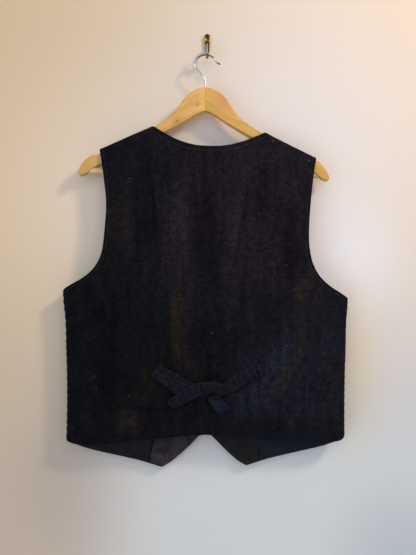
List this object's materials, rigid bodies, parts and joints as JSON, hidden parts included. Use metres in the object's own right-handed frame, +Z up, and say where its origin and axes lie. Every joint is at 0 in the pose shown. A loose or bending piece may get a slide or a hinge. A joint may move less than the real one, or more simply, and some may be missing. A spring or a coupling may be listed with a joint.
{
  "type": "waistcoat on a wooden hanger and wall hook",
  "caption": "Sleeveless waistcoat of black velveteen with pointed fronts and a tied back belt, hung flat on a wooden hanger from a small brass wall hook.",
  "frame": {"origin": "on the back face of the wall hook's plate, between its two screws", "axes": "+Z up, +Y into the wall, the outside of the garment's back faces -Y"},
  "size_m": [0.5066, 0.056, 0.7846],
  "materials": {
    "velveteen": "napped, black",
    "facing": "plain cotton, very dark brown",
    "lining": "finely ribbed, dark slate",
    "tie": "napped, black",
    "button": "dull gilt",
    "beech_left": "clear varnish, honey",
    "beech_right": "clear varnish, darker honey",
    "dowel": "clear varnish, pale",
    "wire": "bright",
    "hook_brass": "aged",
    "screw": "dark"
  },
  "bodies": {
    "root": {"back": "velveteen", "front_left": "velveteen", "front_right": "velveteen", "front_left_facing": "facing", "front_right_facing": "facing", "front_left_lining": "lining", "front_right_lining": "lining", "tie_left": "tie", "tie_right": "tie", "tie_band": "tie", "tie_tail": "tie", "button_1": "button", "button_2": "button", "button_3": "button", "button_4": "button", "hanger_arm_left": "beech_left", "hanger_arm_right": "beech_right", "hanger_bar": "dowel", "hanger_hook": "wire", "wall_hook": "hook_brass", "wall_hook_screw_upper": "screw", "wall_hook_screw_lower": "screw"}
  },
  "joints": []
}
